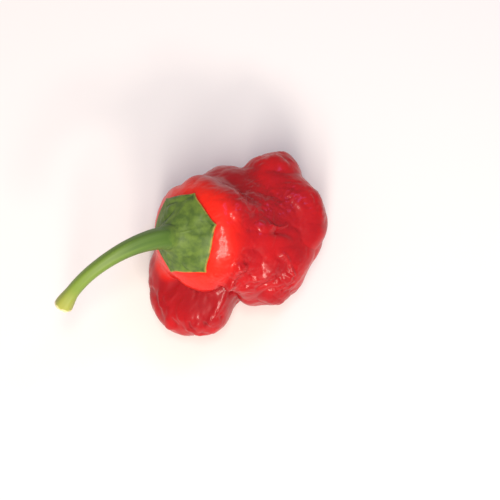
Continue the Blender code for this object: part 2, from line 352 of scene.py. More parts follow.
@dataclass(frozen=True)
class Relief:
    """Fine wrinkles that Geometry Nodes raise on a skin: puffs between sharp creases, and thin ridges."""

    name: str
    puff_spacing: float
    puff_depth: float
    ridge_spacing: float
    ridge_depth: float
    bend: float  # how far slow bends push the pattern aside
    patch_spacing: float  # how far apart patches of strong wrinkles are
    seed: float
    patches: Ramp = Ramp(0.42, 0.60, 0.2, 1.3)  # how much weaker and stronger those patches are
    sharpness: float = 9.0  # how steeply a pattern rises from its creases, so that it is about 0 on average
    surroundings: int = 8  # how many points out from a point its hollow is measured

    def values(self) -> dict[str, float]:
        """The tree's inputs by name, with lengths in metres."""
        return {
            "Puff spacing": self.puff_spacing * MM,
            "Puff depth": self.puff_depth * MM,
            "Ridge spacing": self.ridge_spacing * MM,
            "Ridge depth": self.ridge_depth * MM,
            "Bend": self.bend * MM,
            "Patch spacing": self.patch_spacing * MM,
            "Seed": self.seed,
        }

    def tree(self) -> bpy.types.NodeTree:
        """Builds the tree that raises the wrinkles along the normals, where the mesh is wrinkled.

        Returns:
            The tree, which also notes how far each point lies below its surroundings.
        """
        tree, given = new_tree(self.name, self.values())
        place = add_node(tree, "GeometryNodeInputPosition").outputs[0]
        slow_place = self._divided(tree, place, given["Patch spacing"])
        slow = add_node(
            tree,
            "ShaderNodeTexNoise",
            {"Vector": slow_place, "W": given["Seed"], "Scale": 1.0, "Detail": 1.0},
            noise_dimensions="4D",
        )
        bent = slow.outputs["Color"]
        for operation, key, operand in (
            ("SUBTRACT", 1, (0.5, 0.5, 0.5)),
            ("SCALE", "Scale", given["Bend"]),
            ("ADD", 1, place),
        ):
            bent = add_node(
                tree, "ShaderNodeVectorMath", {0: bent, key: operand}, operation=operation
            ).outputs[0]
        puffs, ridges = (
            self._pattern(tree, self._divided(tree, bent, given[spacing]), given["Seed"], given[depth])
            for spacing, depth in (("Puff spacing", "Puff depth"), ("Ridge spacing", "Ridge depth"))
        )
        patches = add_node(tree, "ShaderNodeMapRange", self.patches.inputs(slow.outputs["Fac"])).outputs[0]
        wrinkled = add_node(
            tree, "GeometryNodeInputNamedAttribute", {"Name": Trait.WRINKLED.value}, data_type="FLOAT"
        ).outputs[0]
        height, strength = (
            add_node(tree, "ShaderNodeMath", {0: first, 1: second}, operation=operation).outputs[0]
            for operation, first, second in (("SUBTRACT", puffs, ridges), ("MULTIPLY", wrinkled, patches))
        )
        height = add_node(tree, "ShaderNodeMath", {0: height, 1: strength}, operation="MULTIPLY").outputs[0]
        normal = add_node(tree, "GeometryNodeInputNormal").outputs[0]
        offset = add_node(
            tree, "ShaderNodeVectorMath", {0: normal, "Scale": height}, operation="SCALE"
        ).outputs[0]
        moved = add_node(tree, "GeometryNodeSetPosition", {"Geometry": given["Geometry"], "Offset": offset})
        around = add_node(
            tree,
            "GeometryNodeBlurAttribute",
            {"Value": place, "Iterations": self.surroundings},
            data_type="FLOAT_VECTOR",
        ).outputs[0]
        above = add_node(
            tree, "ShaderNodeVectorMath", {0: around, 1: place}, operation="SUBTRACT"
        ).outputs[0]
        hollow = add_node(tree, "ShaderNodeVectorMath", {0: above, 1: normal}, operation="DOT_PRODUCT")
        noted = add_node(
            tree,
            "GeometryNodeStoreNamedAttribute",
            {"Geometry": moved.outputs[0], "Name": Trait.HOLLOW.value, "Value": hollow.outputs["Value"]},
            data_type="FLOAT",
            domain="POINT",
        )
        end_tree(tree, noted.outputs[0], given["Material"])
        return tree

    @staticmethod
    def _divided(
        tree: bpy.types.NodeTree, place: bpy.types.NodeSocket, spacing: bpy.types.NodeSocket
    ) -> bpy.types.NodeSocket:
        """The place counted in spacings, which a pattern of size one reads."""
        share = add_node(tree, "ShaderNodeMath", {0: 1.0, 1: spacing}, operation="DIVIDE").outputs[0]
        return add_node(
            tree, "ShaderNodeVectorMath", {0: place, "Scale": share}, operation="SCALE"
        ).outputs[0]

    def _pattern(
        self,
        tree: bpy.types.NodeTree,
        place: bpy.types.NodeSocket,
        seed: bpy.types.NodeSocket,
        depth: bpy.types.NodeSocket,
    ) -> bpy.types.NodeSocket:
        """Adds a pattern of puffs between sharp creases.

        Args:
            tree: The tree that gets its nodes.
            place: The place, counted in the pattern's spacings.
            seed: The noise's seed.
            depth: The pattern's depth.

        Returns:
            Its height, which is the depth below zero in a crease and about 0 on average.
        """
        waves = add_node(
            tree,
            "ShaderNodeTexNoise",
            {"Vector": place, "W": seed, "Scale": 1.0, "Detail": 0.0},
            noise_dimensions="4D",
        )
        height = waves.outputs["Fac"]
        for operation, operands in (
            ("SUBTRACT", {1: 0.5}),
            ("ABSOLUTE", {}),
            ("MULTIPLY_ADD", {1: self.sharpness, 2: -1.0}),
            ("MULTIPLY", {1: depth}),
        ):
            height = add_node(
                tree, "ShaderNodeMath", {0: height, **operands}, operation=operation
            ).outputs[0]
        return height


@dataclass(frozen=True)
class WaxySkin:
    """Ripe bonnet pepper skin, grown taut over thin flesh: a waxy gloss over deep, slightly clear red."""

    name: str = "waxy_chilli_skin"
    shoulder: str = "#ea2413"
    flank: str = "#bb1319"
    deep: str = "#930b18"
    # painted shade in the skin's hollows
    hollow: str = "#7c0a12"
    # painted shade in and beside the skin's deep creases
    fold_shade: str = "#98101a"
    ior: float = 1.33
    specular: float = 0.35
    coat: float = 0.27
    coat_roughness: float = 0.11
    clearness: float = 0.18  # how much light passes through the skin
    light_reach: float = 1.6  # how far red light travels in it
    light_shares: tuple[float, float, float] = (1.0, 0.22, 0.12)  # red, green and blue's shares of that
    # how strong the painted shade in deep creases is
    fold_shade_share: float = 0.8
    mottle_spacing: float = 6.0
    mottle_detail: float = 3.0
    pore_spacing: float = 0.7
    pore_detail: float = 2.0
    pore_depth: float = 0.025
    deepened: Ramp = Ramp(0.35, 0.7, 0.0, 0.7)  # the deep colour's share, from the mottling
    hollow_shading: Ramp = Ramp(0.02 * MM, 0.25 * MM, 0.0, 0.75)  # the painted hollow shade's share, from a hollow's depth
    rough: Ramp = Ramp(0.3, 0.7, 0.33, 0.45)  # the roughness, from the mottling

    def material(self) -> bpy.types.Material:
        """Builds the skin's material.

        Returns:
            The material, which reads the pod's traits.
        """
        material, tree, shader = new_material(self.name)
        place = add_node(tree, "ShaderNodeTexCoord").outputs["Object"]
        mottle, pores = (
            add_node(
                tree, "ShaderNodeTexNoise", {"Vector": place, "Scale": 1 / (spacing * MM), "Detail": detail}
            ).outputs["Fac"]
            for spacing, detail in (
                (self.mottle_spacing, self.mottle_detail),
                (self.pore_spacing, self.pore_detail),
            )
        )
        shoulder, fold_shading, hollow = (
            add_node(tree, "ShaderNodeAttribute", attribute_name=trait.value).outputs["Fac"]
            for trait in (Trait.SHOULDER, Trait.FOLD_SHADING, Trait.HOLLOW)
        )
        deepened, hollow_shading, rough = (
            add_node(tree, "ShaderNodeMapRange", ramp.inputs(value)).outputs[0]
            for ramp, value in ((self.deepened, mottle), (self.hollow_shading, hollow), (self.rough, mottle))
        )
        # Painted shade: the fold colour darkens the skin along deep creases, and the hollow colour darkens
        # its hollows.
        fold_shading = add_node(
            tree, "ShaderNodeMath", {0: fold_shading, 1: self.fold_shade_share}, operation="MULTIPLY"
        ).outputs[0]
        colour = linear(self.flank)
        for share, tint in (
            (deepened, self.deep),
            (shoulder, self.shoulder),
            (fold_shading, self.fold_shade),
            (hollow_shading, self.hollow),
        ):
            colour = add_node(
                tree, "ShaderNodeMix", {0: share, MIX_A: colour, MIX_B: linear(tint)}, data_type="RGBA"
            ).outputs[MIX_RESULT]
        bump = add_node(
            tree, "ShaderNodeBump", {"Height": pores, "Distance": self.pore_depth * MM, "Strength": 1.0}
        )
        wire(
            shader,
            {
                "Base Color": colour,
                "Roughness": rough,
                "Normal": bump.outputs[0],
                "IOR": self.ior,
                "Specular IOR Level": self.specular,
                "Subsurface Weight": self.clearness,
                "Subsurface Radius": self.light_shares,
                "Subsurface Scale": self.light_reach * MM,
                "Coat Weight": self.coat,
                "Coat Roughness": self.coat_roughness,
            },
        )
        return material


@dataclass(frozen=True)
class Leaf:
    """The calyx's leathery leaf, grown thick and puckered: satin green, yellow at its thin edge."""

    name: str = "calyx_leaf"
    green: str = "#4b6526"
    light: str = "#657f2e"
    # painted shade in the leaf's hollows
    fold_shade: str = "#2c451c"
    edge: str = "#a8873c"
    neck: str = "#4f6f29"
    roughness: float = 0.55
    ior: float = 1.42
    vein_spacing: float = 1.6
    grain_spacing: float = 0.5
    detail: float = 3.0
    grain_depth: float = 0.03
    lightened: Ramp = Ramp(0.35, 0.65)  # the light colour's share, from the patches between fine veins
    fold_shading: Ramp = Ramp(0.0, 0.12 * MM, 0.0, 0.8)  # the painted fold shade's share, from a hollow's depth
    thinned: Ramp = Ramp(0.975, 1.0)  # the edge colour's share, from how far out on the leaf a point is
    dried: Ramp = Ramp(0.35, 0.6, 0.15, 0.95)  # how much of that share is left, from the patches
    necked: Ramp = Ramp(0.0, 0.6)  # the neck colour's share, from how far up the collar a point is

    def material(self) -> bpy.types.Material:
        """Builds the leaf's material.

        Returns:
            The material, which reads the calyx's traits.
        """
        material, tree, shader = new_material(self.name)
        place = add_node(tree, "ShaderNodeTexCoord").outputs["Object"]
        patches, grain = (
            add_node(
                tree,
                "ShaderNodeTexNoise",
                {"Vector": place, "Scale": 1 / (spacing * MM), "Detail": self.detail},
            ).outputs["Fac"]
            for spacing in (self.vein_spacing, self.grain_spacing)
        )
        hollow, rim, neck = (
            add_node(tree, "ShaderNodeAttribute", attribute_name=trait.value).outputs["Fac"]
            for trait in (Trait.HOLLOW, Trait.RIM, Trait.NECK)
        )
        lightened, fold_shading, thinned, dried, necked = (
            add_node(tree, "ShaderNodeMapRange", ramp.inputs(value)).outputs[0]
            for ramp, value in (
                (self.lightened, patches),
                (self.fold_shading, hollow),
                (self.thinned, rim),
                (self.dried, patches),
                (self.necked, neck),
            )
        )
        edged = add_node(tree, "ShaderNodeMath", {0: thinned, 1: dried}, operation="MULTIPLY").outputs[0]
        # The fold colour is painted shade in the leaf's hollows.
        colour = linear(self.green)
        for share, tint in (
            (lightened, self.light),
            (fold_shading, self.fold_shade),
            (edged, self.edge),
            (necked, self.neck),
        ):
            colour = add_node(
                tree, "ShaderNodeMix", {0: share, MIX_A: colour, MIX_B: linear(tint)}, data_type="RGBA"
            ).outputs[MIX_RESULT]
        bump = add_node(
            tree, "ShaderNodeBump", {"Height": grain, "Distance": self.grain_depth * MM, "Strength": 1.0}
        )
        wire(
            shader,
            {"Base Color": colour, "Normal": bump.outputs[0], "Roughness": self.roughness, "IOR": self.ior},
        )
        return material


@dataclass(frozen=True)
class Stalk:
    """A green stalk, grown with fibres along it: satin, striped lengthwise, and pale and dry at its cut."""

    name: str = "green_stalk"
    green: str = "#4d6d28"
    stripe: str = "#638233"
    young: str = "#809a3a"
    tip: str = "#a8aa4c"
    cut: str = "#e2dba6"
    roughness: float = 0.48
    ior: float = 1.42
    fibre_spacing: float = 0.7
    fibre_length: float = 14.0
    fibre_detail: float = 2.0
    fibre_depth: float = 0.05
    raggedness: float = 0.03  # how far fibres break up the edge of the pale cut, as a share of the length
    striped: Ramp = Ramp(0.35, 0.65)  # the stripe colour's share, from the fibres
    # The rest are from how far along the stalk a point is, as a share of its length.
    free: Ramp = Ramp(0.06, 0.35, 0.15, 1.0)  # how strong stripes are, where the stalk leaves the calyx
    freshened: Ramp = Ramp(0.3, 0.8, 0.0, 0.8)  # the young colour's share
    paled: Ramp = Ramp(0.8, 1.0, 0.0, 0.95)  # the tip colour's share
    bared: Ramp = Ramp(0.995, 1.005)  # the cut colour's share

    def material(self, length: float, radius: float) -> bpy.types.Material:
        """Builds the stalk's material.

        Args:
            length: The stem's length.
            radius: Its usual radius.

        Returns:
            The material, which reads the stem's traits.
        """
        material, tree, shader = new_material(self.name)
        along, cut, around = (
            add_node(tree, "ShaderNodeAttribute", attribute_name=trait.value).outputs[output]
            for trait, output in ((Trait.ALONG, "Fac"), (Trait.CUT, "Fac"), (Trait.ROUND, "Vector"))
        )
        # The noise is read across the stalk and, drawn out into fibres, along it.
        crowding = radius / self.fibre_spacing
        across = add_node(
            tree, "ShaderNodeVectorMath", {0: around, "Scale": crowding}, operation="SCALE"
        ).outputs[0]
        drawn = add_node(
            tree, "ShaderNodeMath", {0: along, 1: length / self.fibre_length}, operation="MULTIPLY"
        )
        drawn = add_node(tree, "ShaderNodeCombineXYZ", {"Z": drawn.outputs[0]}).outputs[0]
        place = add_node(tree, "ShaderNodeVectorMath", {0: across, 1: drawn}, operation="ADD").outputs[0]
        fibres = add_node(
            tree, "ShaderNodeTexNoise", {"Vector": place, "Scale": 1.0, "Detail": self.fibre_detail}
        ).outputs["Fac"]
        torn = add_node(
            tree, "ShaderNodeMath", {0: fibres, 1: self.raggedness, 2: along}, operation="MULTIPLY_ADD"
        ).outputs[0]
        striped, free, freshened, paled, bared = (
            add_node(tree, "ShaderNodeMapRange", ramp.inputs(value)).outputs[0]
            for ramp, value in (
                (self.striped, fibres),
                (self.free, along),
                (self.freshened, along),
                (self.paled, along),
                (self.bared, torn),
            )
        )
        striped, bared = (
            add_node(tree, "ShaderNodeMath", {0: first, 1: second}, operation=operation).outputs[0]
            for operation, first, second in (("MULTIPLY", striped, free), ("MAXIMUM", cut, bared))
        )
        colour = linear(self.green)
        for share, tint in (
            (striped, self.stripe),
            (freshened, self.young),
            (paled, self.tip),
            (bared, self.cut),
        ):
            colour = add_node(
                tree, "ShaderNodeMix", {0: share, MIX_A: colour, MIX_B: linear(tint)}, data_type="RGBA"
            ).outputs[MIX_RESULT]
        bump = add_node(
            tree, "ShaderNodeBump", {"Height": fibres, "Distance": self.fibre_depth * MM, "Strength": free}
        )
        wire(
            shader,
            {"Base Color": colour, "Normal": bump.outputs[0], "Roughness": self.roughness, "IOR": self.ior},
        )
        return material


@dataclass(frozen=True)
class Paper:
    """Matt white paper, pressed smooth: an even pale ground without gloss."""

    name: str = "matt_white_paper"
    white: str = "#e8e8e7"
    roughness: float = 0.9

    def material(self) -> bpy.types.Material:
        """Builds the paper's material."""
        material, _, shader = new_material(self.name)
        wire(shader, {"Base Color": linear(self.white), "Roughness": self.roughness})
        return material


@dataclass
class Pod:
    """The fruit: lobes that meet in creases, a smooth shoulder around the calyx, and wrinkled skin."""

    length: float = 41.0
    width: float = 43.0
    height: float = 36.0
    rest_flattening: float = 1.3
    axis_elevation: float = 45.0
    axis_turn: float = -16.0
    shoulder_centre: tuple[float, float, float] = (-0.35, 0.04, 0.20)
    shoulder_diameter: float = 27.0
    shoulder_depth: float = 21.0
    seat_depth: float = 2.0
    seat_radius: float = 7.0
    puff_spacing: float = 9.0
    puff_depth: float = 0.45
    fold_spacing: float = 4.5
    fold_depth: float = 0.15
    fold_stretch: float = 0.5
    bend_spacing: float = 11.0
    bend_depth: float = 1.6
    bend_shifts: tuple[float, float, float] = (5.3, 17.1, 31.7)  # where in the noise each bend is read
    crease_tightness: float = 1.2
    wobble: float = 0.9  # how far fine creases stray from their course
    wobble_crowding: float = 2.2  # how much closer together their strays are than the wrinkles' bends
    shoulder_calm: float = 0.6  # how much less wrinkled the shoulder is
    shoulder_facing: float = 0.5  # skin that faces along the calyx's axis by this share is shoulder
    calm_facing: float = 0.6  # skin that faces along it by this share has no larger wrinkles
    # How high over the shoulder a lobe starts to cover it, and how high it has covered it.
    cover_heights: tuple[float, float] = (0.9, 2.6)
    fold_shade_spread: float = 1.6  # how much wider than a crease its painted shade is
    graze: float = 0.15  # how softly a swelling ends beside a direction that misses it
    usual_noise: float = 0.22  # the noise's usual distance from zero
    frame_divisions: int = 24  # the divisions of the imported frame's pod
    divisions: int = 124

    def __post_init__(self) -> None:
        """Works out the half sizes, the calyx's own directions and where the frame has the pod's centre."""
        self.half_sizes = np.array([self.length, self.width, self.height]) / 2
        self.shoulder = self.half_sizes * self.shoulder_centre
        self.axis = heading(math.pi - math.radians(self.axis_turn), math.radians(self.axis_elevation))
        self.upward = unit(np.cross(self.axis, [1.0, 0.0, 0.0]))
        self.across = np.cross(self.upward, self.axis)
        coarse = self._laid(self._lattice(self.frame_divisions), None)
        self.centre = np.array(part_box("pod")[0]) / MM - coarse.min(axis=0)

    def build(self, material: bpy.types.Material) -> bpy.types.Object:
        """Makes the pod's mesh, with its traits, and raises its fine wrinkles.

        Args:
            material: The skin's material.

        Returns:
            The finished skin, in the frame's metres.
        """
        shape = self._cube(self.divisions)
        directions = self._directions(shape)
        points = self._laid(directions, FINE_CREASES) + self.centre
        for vertex, point in zip(shape.verts, points * MM, strict=True):
            vertex.co = point
        mesh = bpy.data.meshes.new("pod_skin")
        shape.to_mesh(mesh)
        shape.free()
        near = self._shoulder_share(directions)
        set_trait(mesh, Trait.SHOULDER, near)
        body = self._body(directions)
        puckered = crease_depth(PUCKERED, directions, body)
        set_trait(mesh, Trait.WRINKLED, 1.0 - self.shoulder_calm * near + puckered)
        # Shade is painted along the deep creases, a little wider than each crease.
        fold_shading = [crease.closeness(directions, body / self.fold_shade_spread) for crease in CREASES]
        set_trait(mesh, Trait.FOLD_SHADING, np.max(fold_shading, axis=0))
        relief = Relief(
            "skin_wrinkles",
            puff_spacing=3.4,
            puff_depth=0.08,
            ridge_spacing=1.3,
            ridge_depth=0.045,
            bend=3.0,
            patch_spacing=11.0,
            seed=4.0,
        )
        skin = bake(add_object("pod_skin", mesh), relief.tree(), relief.values(), material)
        # The wrinkles are pressed flat where the pod rests.
        places = np.empty(len(skin.data.vertices) * 3, np.float32)
        skin.data.vertices.foreach_get("co", places)
        places[2::3] = np.maximum(places[2::3], 0.0)
        skin.data.vertices.foreach_set("co", places)
        skin.data.update()
        return skin

    def skin(self, directions: np.ndarray, fine: tuple[Crease, ...] | None = None) -> np.ndarray:
        """How far the skin is from the pod's centre, before the pod lies on anything.

        Args:
            directions: Unit vectors out of the pod's centre.
            fine: The smaller creases to add.

        Returns:
            One distance for each direction.
        """
        body = self._body(directions)
        from_shoulder = directions * body[:, None] - self.shoulder
        out = from_shoulder @ self.axis
        aside = np.linalg.norm(from_shoulder - out[:, None] * self.axis, axis=1)
        seat = self.seat_depth * np.exp(-((aside / self.seat_radius) ** 2)) * (out > 0)
        wrinkled = 1.0 - smooth_step(0.0, self.calm_facing, out / np.hypot(out, aside))
        creases = crease_depth(CREASES, directions, body)
        if fine:
            wobbly = directions * body[:, None]
            strays = np.array([self._bend(point * self.wobble_crowding) for point in wobbly])
            wobbly = unit(wobbly + self.wobble * strays)
            creases += crease_depth(fine, wobbly, body)
        return body - creases - seat + wrinkled * self._wrinkles(directions * body[:, None])

    def _body(self, directions: np.ndarray) -> np.ndarray:
        """How far the swellings reach, melted into one body."""
        reaches = np.array([self._reach(directions, *swelling) for swelling in self._swellings()])
        return np.logaddexp.reduce(reaches * self.crease_tightness, axis=0) / self.crease_tightness

    def _swellings(self) -> Iterator[tuple[np.ndarray, np.ndarray]]:
        """Every swelling of the pod, as the matrix that turns it into a unit ball and its centre."""
        for lobe in LOBES:
            yield np.diag(1.0 / (self.half_sizes * lobe.radius)), self.half_sizes * lobe.centre
        radii = np.array([self.shoulder_diameter, self.shoulder_diameter, self.shoulder_depth]) / 2
        yield np.array([self.across, self.upward, self.axis]) / radii[:, None], self.shoulder

    def _reach(self, directions: np.ndarray, to_ball: np.ndarray, centre: np.ndarray) -> np.ndarray:
        """How far out each direction leaves a swelling.

        Args:
            directions: Unit vectors out of the pod's centre.
            to_ball: The matrix that turns the swelling into a unit ball.
            centre: The swelling's centre.

        Returns:
            One distance for each direction.
        """
        rays = directions @ to_ball.T
        middle = to_ball @ centre
        stretch = (rays * rays).sum(axis=1)
        nearest = rays @ middle / stretch
        depth = 1.0 - (middle @ middle - nearest**2 * stretch)
        softened = 0.5 * (depth + np.sqrt(depth**2 + self.graze**2))
        return nearest + np.sqrt(softened / stretch)

    def _wrinkles(self, points: np.ndarray) -> np.ndarray:
        """Works out the skin's larger wrinkles.

        Args:
            points: Points of the skin.

        Returns:
            The wrinkles' height at each.
        """
        heights = np.empty(len(points))
        for index, point in enumerate(points):
            bent = point + self._bend(point)
            drawn = bent - self.axis * (bent @ self.axis) * self.fold_stretch
            heights[index] = self.puff_depth * self._wrinkle(bent, self.puff_spacing)
            heights[index] += self.fold_depth * self._wrinkle(drawn, self.fold_spacing)
        return heights

    def _bend(self, point: np.ndarray) -> np.ndarray:
        """The slow bend of the wrinkles' pattern at a point, along each of X, Y and Z."""
        place = Vector(point) / self.bend_spacing
        shifted = [place + Vector((shift,) * 3) for shift in self.bend_shifts]
        return self.bend_depth * np.array([noise.noise(spot) for spot in shifted])

    def _wrinkle(self, point: np.ndarray, spacing: float) -> float:
        """A pattern of round puffs between sharp creases: -1 in a crease and about 0 on average."""
        return abs(noise.noise(Vector(point) / spacing)) / self.usual_noise - 1.0

    def _shoulder_share(self, directions: np.ndarray) -> np.ndarray:
        """Works out where the skin is smooth shoulder.

        Args:
            directions: Unit vectors out of the pod's centre.

        Returns:
            1 on the shoulder and 0 away from it or where a lobe covers it, for each direction.
        """
        body = self._body(directions)
        from_shoulder = directions * body[:, None] - self.shoulder
        facing = smooth_step(0.0, self.shoulder_facing, unit(from_shoulder) @ self.axis)
        *_, (to_ball, centre) = self._swellings()
        covered = smooth_step(*self.cover_heights, body - self._reach(directions, to_ball, centre))
        return facing * (1.0 - covered)

    @staticmethod
    def _cube(divisions: int) -> bmesh.types.BMesh:
        """Makes a cube with gridded sides.

        Args:
            divisions: How many squares each edge has.

        Returns:
            The cube, which the caller frees.
        """
        shape = bmesh.new()
        bmesh.ops.create_cube(shape, size=2.0)
        bmesh.ops.subdivide_edges(shape, edges=shape.edges[:], cuts=divisions - 1, use_grid_fill=True)
        return shape

    @staticmethod
    def _directions(shape: bmesh.types.BMesh) -> np.ndarray:
        """The cube's points blown up to a ball, spaced evenly."""
        corners = np.array([vertex.co[:] for vertex in shape.verts])
        return unit(np.tan(corners * math.pi / 4))

    def _lattice(self, divisions: int) -> np.ndarray:
        """Works out directions over the whole ball.

        Args:
            divisions: How many squares each edge of the cube under it has.

        Returns:
            The unit directions.
        """
        shape = self._cube(divisions)
        directions = self._directions(shape)
        shape.free()
        return directions

    def _laid(self, directions: np.ndarray, fine: tuple[Crease, ...] | None) -> np.ndarray:
        """Lays the pod on the floor, with what hangs below it pressed flat.

        Args:
            directions: Unit vectors out of the pod's centre.
            fine: The smaller creases to add.

        Returns:
            Points of the skin around the pod's centre.
        """
        points = directions * self.skin(directions, fine)[:, None]
        floor = -self.centre[2] if fine else points[:, 2].min() + self.rest_flattening
        hanging = points[:, 2] < floor
        points[hanging] *= (floor / points[hanging, 2])[:, None]
        return points


@dataclass
class Stem:
    """The stalk: thick at the calyx, thin beyond, bent down to its side, and swollen at the hollow cut."""

    length: float = 31.0
    base_diameter: float = 5.4
    diameter: float = 3.1
    cut_diameter: float = 4.2
    base_taper: float = 0.75
    base_curve: float = 1.8  # a larger value makes the base thin out sooner
    cut_swelling: float = 0.84
    ribs: int = 5
    rib_depth: float = 0.03
    rings: int = 140
    sides: int = 90
    settling: float = 0.12  # the share of its length in which it turns out of the calyx's axis
    # The cut's rings from its edge inwards, with how wide each is and how far its inside stands out.
    cut_rings: tuple[tuple[float, float], ...] = ((0.12, 0.06), (0.35, 0.0), (0.35, -0.245), (0.4, -0.35))
    cut_raggedness: float = 0.35  # how far the torn edge of the cut stands out and in
    tear_width: float = 1.3  # how wide its tears are
    shred_width: float = 0.5  # how wide the shreds on them are
    shred_share: float = 0.5  # how far shreds stand out, as a share of what tears do

    HEADINGS = (
        (-0.78, -0.15, 0.60),
        (-0.89, -0.36, 0.29),
        (-0.86, -0.50, 0.03),
        (-0.79, -0.56, -0.25),
        (-0.63, -0.60, -0.49),
        (-0.45, -0.65, -0.61),
    )

    def course(self, base: np.ndarray, axis: np.ndarray) -> tuple[np.ndarray, np.ndarray]:
        """Points on the stem's centre line and the heading at each.

        Args:
            base: Where the stem starts.
            axis: The direction in which it leaves the calyx.

        Returns:
            The points, evenly spaced, and the unit headings.
        """
        keys = unit(self.HEADINGS)
        places = np.linspace(0.0, len(keys) - 1.0, self.rings)
        before = np.minimum(places.astype(int), len(keys) - 2)
        share = (places - before)[:, None]
        headings = unit(keys[before] * (1.0 - share) + keys[before + 1] * share)
        # Near its base the stem still turns out of the calyx's axis.
        settled = smooth_step(0.0, self.settling, np.linspace(0.0, 1.0, self.rings))[:, None]
        headings = unit(axis * (1.0 - settled) + headings * settled)
        steps = (headings[1:] + headings[:-1]) / 2 * self.length / (self.rings - 1)
        return base + np.vstack([np.zeros(3), np.cumsum(steps, axis=0)]), headings

    def radius(self, share: np.ndarray) -> np.ndarray:
        """Works out the stem's radius.

        Args:
            share: How far along the stem, as shares of its length.

        Returns:
            The radius at each.
        """
        left = np.maximum(0.0, 1.0 - share / self.base_taper)
        base = (self.base_diameter - self.diameter) * left**self.base_curve
        cut = (self.cut_diameter - self.diameter) * smooth_step(self.cut_swelling, 1.0, share)
        return (self.diameter + base + cut) / 2

    def build(self, course: np.ndarray, material: bpy.types.Material) -> bpy.types.Object:
        """Sweeps the stem along its course and hollows its cut.

        Args:
            course: Points on the centre line, in the frame's millimetres.
            material: The stalk's material.

        Returns:
            The finished stalk, in the frame's metres.
        """
        curve = bpy.data.curves.new("stem", "CURVE")
        curve.dimensions = "3D"
        spline = curve.splines.new("POLY")
        spline.points.add(len(course) - 1)
        radii = self.radius(np.linspace(0.0, 1.0, len(course)))
        for point, place, radius in zip(spline.points, course * MM, radii * MM, strict=True):
            point.co = (*place, 1.0)
            point.radius = radius
        values = {"Sides": self.sides, "Ribs": float(self.ribs), "Rib depth": self.rib_depth}
        stalk = bake(add_object("stem_stalk", curve), self._sweep(values), values, material)
        self._hollow_cut(stalk, course[-1] * MM)
        return stalk

    @staticmethod
    def _sweep(values: dict[str, float]) -> bpy.types.NodeTree:
        """Builds the tree that sweeps a ribbed ring along a curve.

        Args:
            values: The tree's inputs by name.

        Returns:
            The tree, which also notes how far along and in which direction out of the stem each point is.
        """
        tree, given = new_tree("ribbed_stalk", values)
        share = add_node(tree, "GeometryNodeSplineParameter").outputs["Factor"]
        place = add_node(tree, "GeometryNodeInputPosition").outputs[0]
        ring = add_node(
            tree, "GeometryNodeCurvePrimitiveCircle", {"Resolution": given["Sides"], "Radius": 1.0}
        )
        path, profile = (
            add_node(
                tree,
                "GeometryNodeStoreNamedAttribute",
                {"Geometry": geometry, "Name": trait.value, "Value": value},
                data_type=kind,
                domain="POINT",
            ).outputs[0]
            for geometry, trait, value, kind in (
                (given["Geometry"], Trait.ALONG, share, "FLOAT"),
                (ring.outputs["Curve"], Trait.ROUND, place, "FLOAT_VECTOR"),
            )
        )
        parts = add_node(tree, "ShaderNodeSeparateXYZ", {0: place}).outputs
        swell = parts["Y"]
        for operation, operands in (
            ("ARCTAN2", {1: parts["X"]}),
            ("MULTIPLY", {1: given["Ribs"]}),
            ("COSINE", {}),
            ("MULTIPLY_ADD", {1: given["Rib depth"], 2: 1.0}),
        ):
            swell = add_node(tree, "ShaderNodeMath", {0: swell, **operands}, operation=operation).outputs[0]
        ribbed = add_node(
            tree, "ShaderNodeVectorMath", {0: place, "Scale": swell}, operation="SCALE"
        ).outputs[0]
        profile = add_node(
            tree, "GeometryNodeSetPosition", {"Geometry": profile, "Position": ribbed}
        ).outputs[0]
        radius = add_node(tree, "GeometryNodeInputRadius").outputs[0]
        swept = add_node(
            tree,
            "GeometryNodeCurveToMesh",
            {"Curve": path, "Profile Curve": profile, "Scale": radius, "Fill Caps": True},
        )
        end_tree(tree, swept.outputs[0], given["Material"])
        return tree

    def _hollow_cut(self, stalk: bpy.types.Object, end: np.ndarray) -> None:
        """Turns the flat cap at the cut into a torn lip around a shallow hollow.

        Args:
            stalk: The swept stalk.
            end: The centre of its cut, in the frame's metres.
        """
        shape = bmesh.new()
        shape.from_mesh(stalk.data)
        # The only faces with more than four corners are the caps.
        caps = [face for face in shape.faces if len(face.verts) > 4]
        cap = min(caps, key=lambda face: (face.calc_center_median() - Vector(end)).length)
        outward = cap.normal.copy()
        cut = shape.verts.layers.float.new(Trait.CUT.value)
        for width, rise in self.cut_rings:
            for vertex in cap.verts:
                shreds = self.shred_share * noise.noise(vertex.co / (self.shred_width * MM))
                torn = noise.noise(vertex.co / (self.tear_width * MM)) + shreds
                vertex.co += outward * torn * self.cut_raggedness * MM
            bmesh.ops.inset_region(
                shape, faces=[cap], thickness=width * MM, depth=rise * MM, use_even_offset=False
            )
            for vertex in cap.verts:
                vertex[cut] = 1.0
        bmesh.ops.poke(shape, faces=[face for face in shape.faces if len(face.verts) > 4])
        bmesh.ops.recalc_face_normals(shape, faces=shape.faces[:])
        shape.to_mesh(stalk.data)
        shape.free()
        stalk.data.shade_smooth()


@dataclass(frozen=True)
class Tooth:
    """One of the calyx's teeth, with its angle around the axis."""

    angle: float
    reach: float  # as a share of the calyx's radius
    bow: float  # how far the edge beyond this tooth bows out, as a share of the calyx's radius
    vein: float  # how deep the vein to its tip sinks in


TEETH = (
    Tooth(19.0, 0.955, 0.02, 0.60),
    Tooth(74.0, 1.00, 0.00, 0.25),
    Tooth(122.0, 0.96, 0.00, 0.30),
    Tooth(182.0, 0.80, 0.00, 0.20),
    Tooth(247.0, 0.76, 0.00, 0.20),
    Tooth(310.0, 0.93, 0.07, 0.20),
)


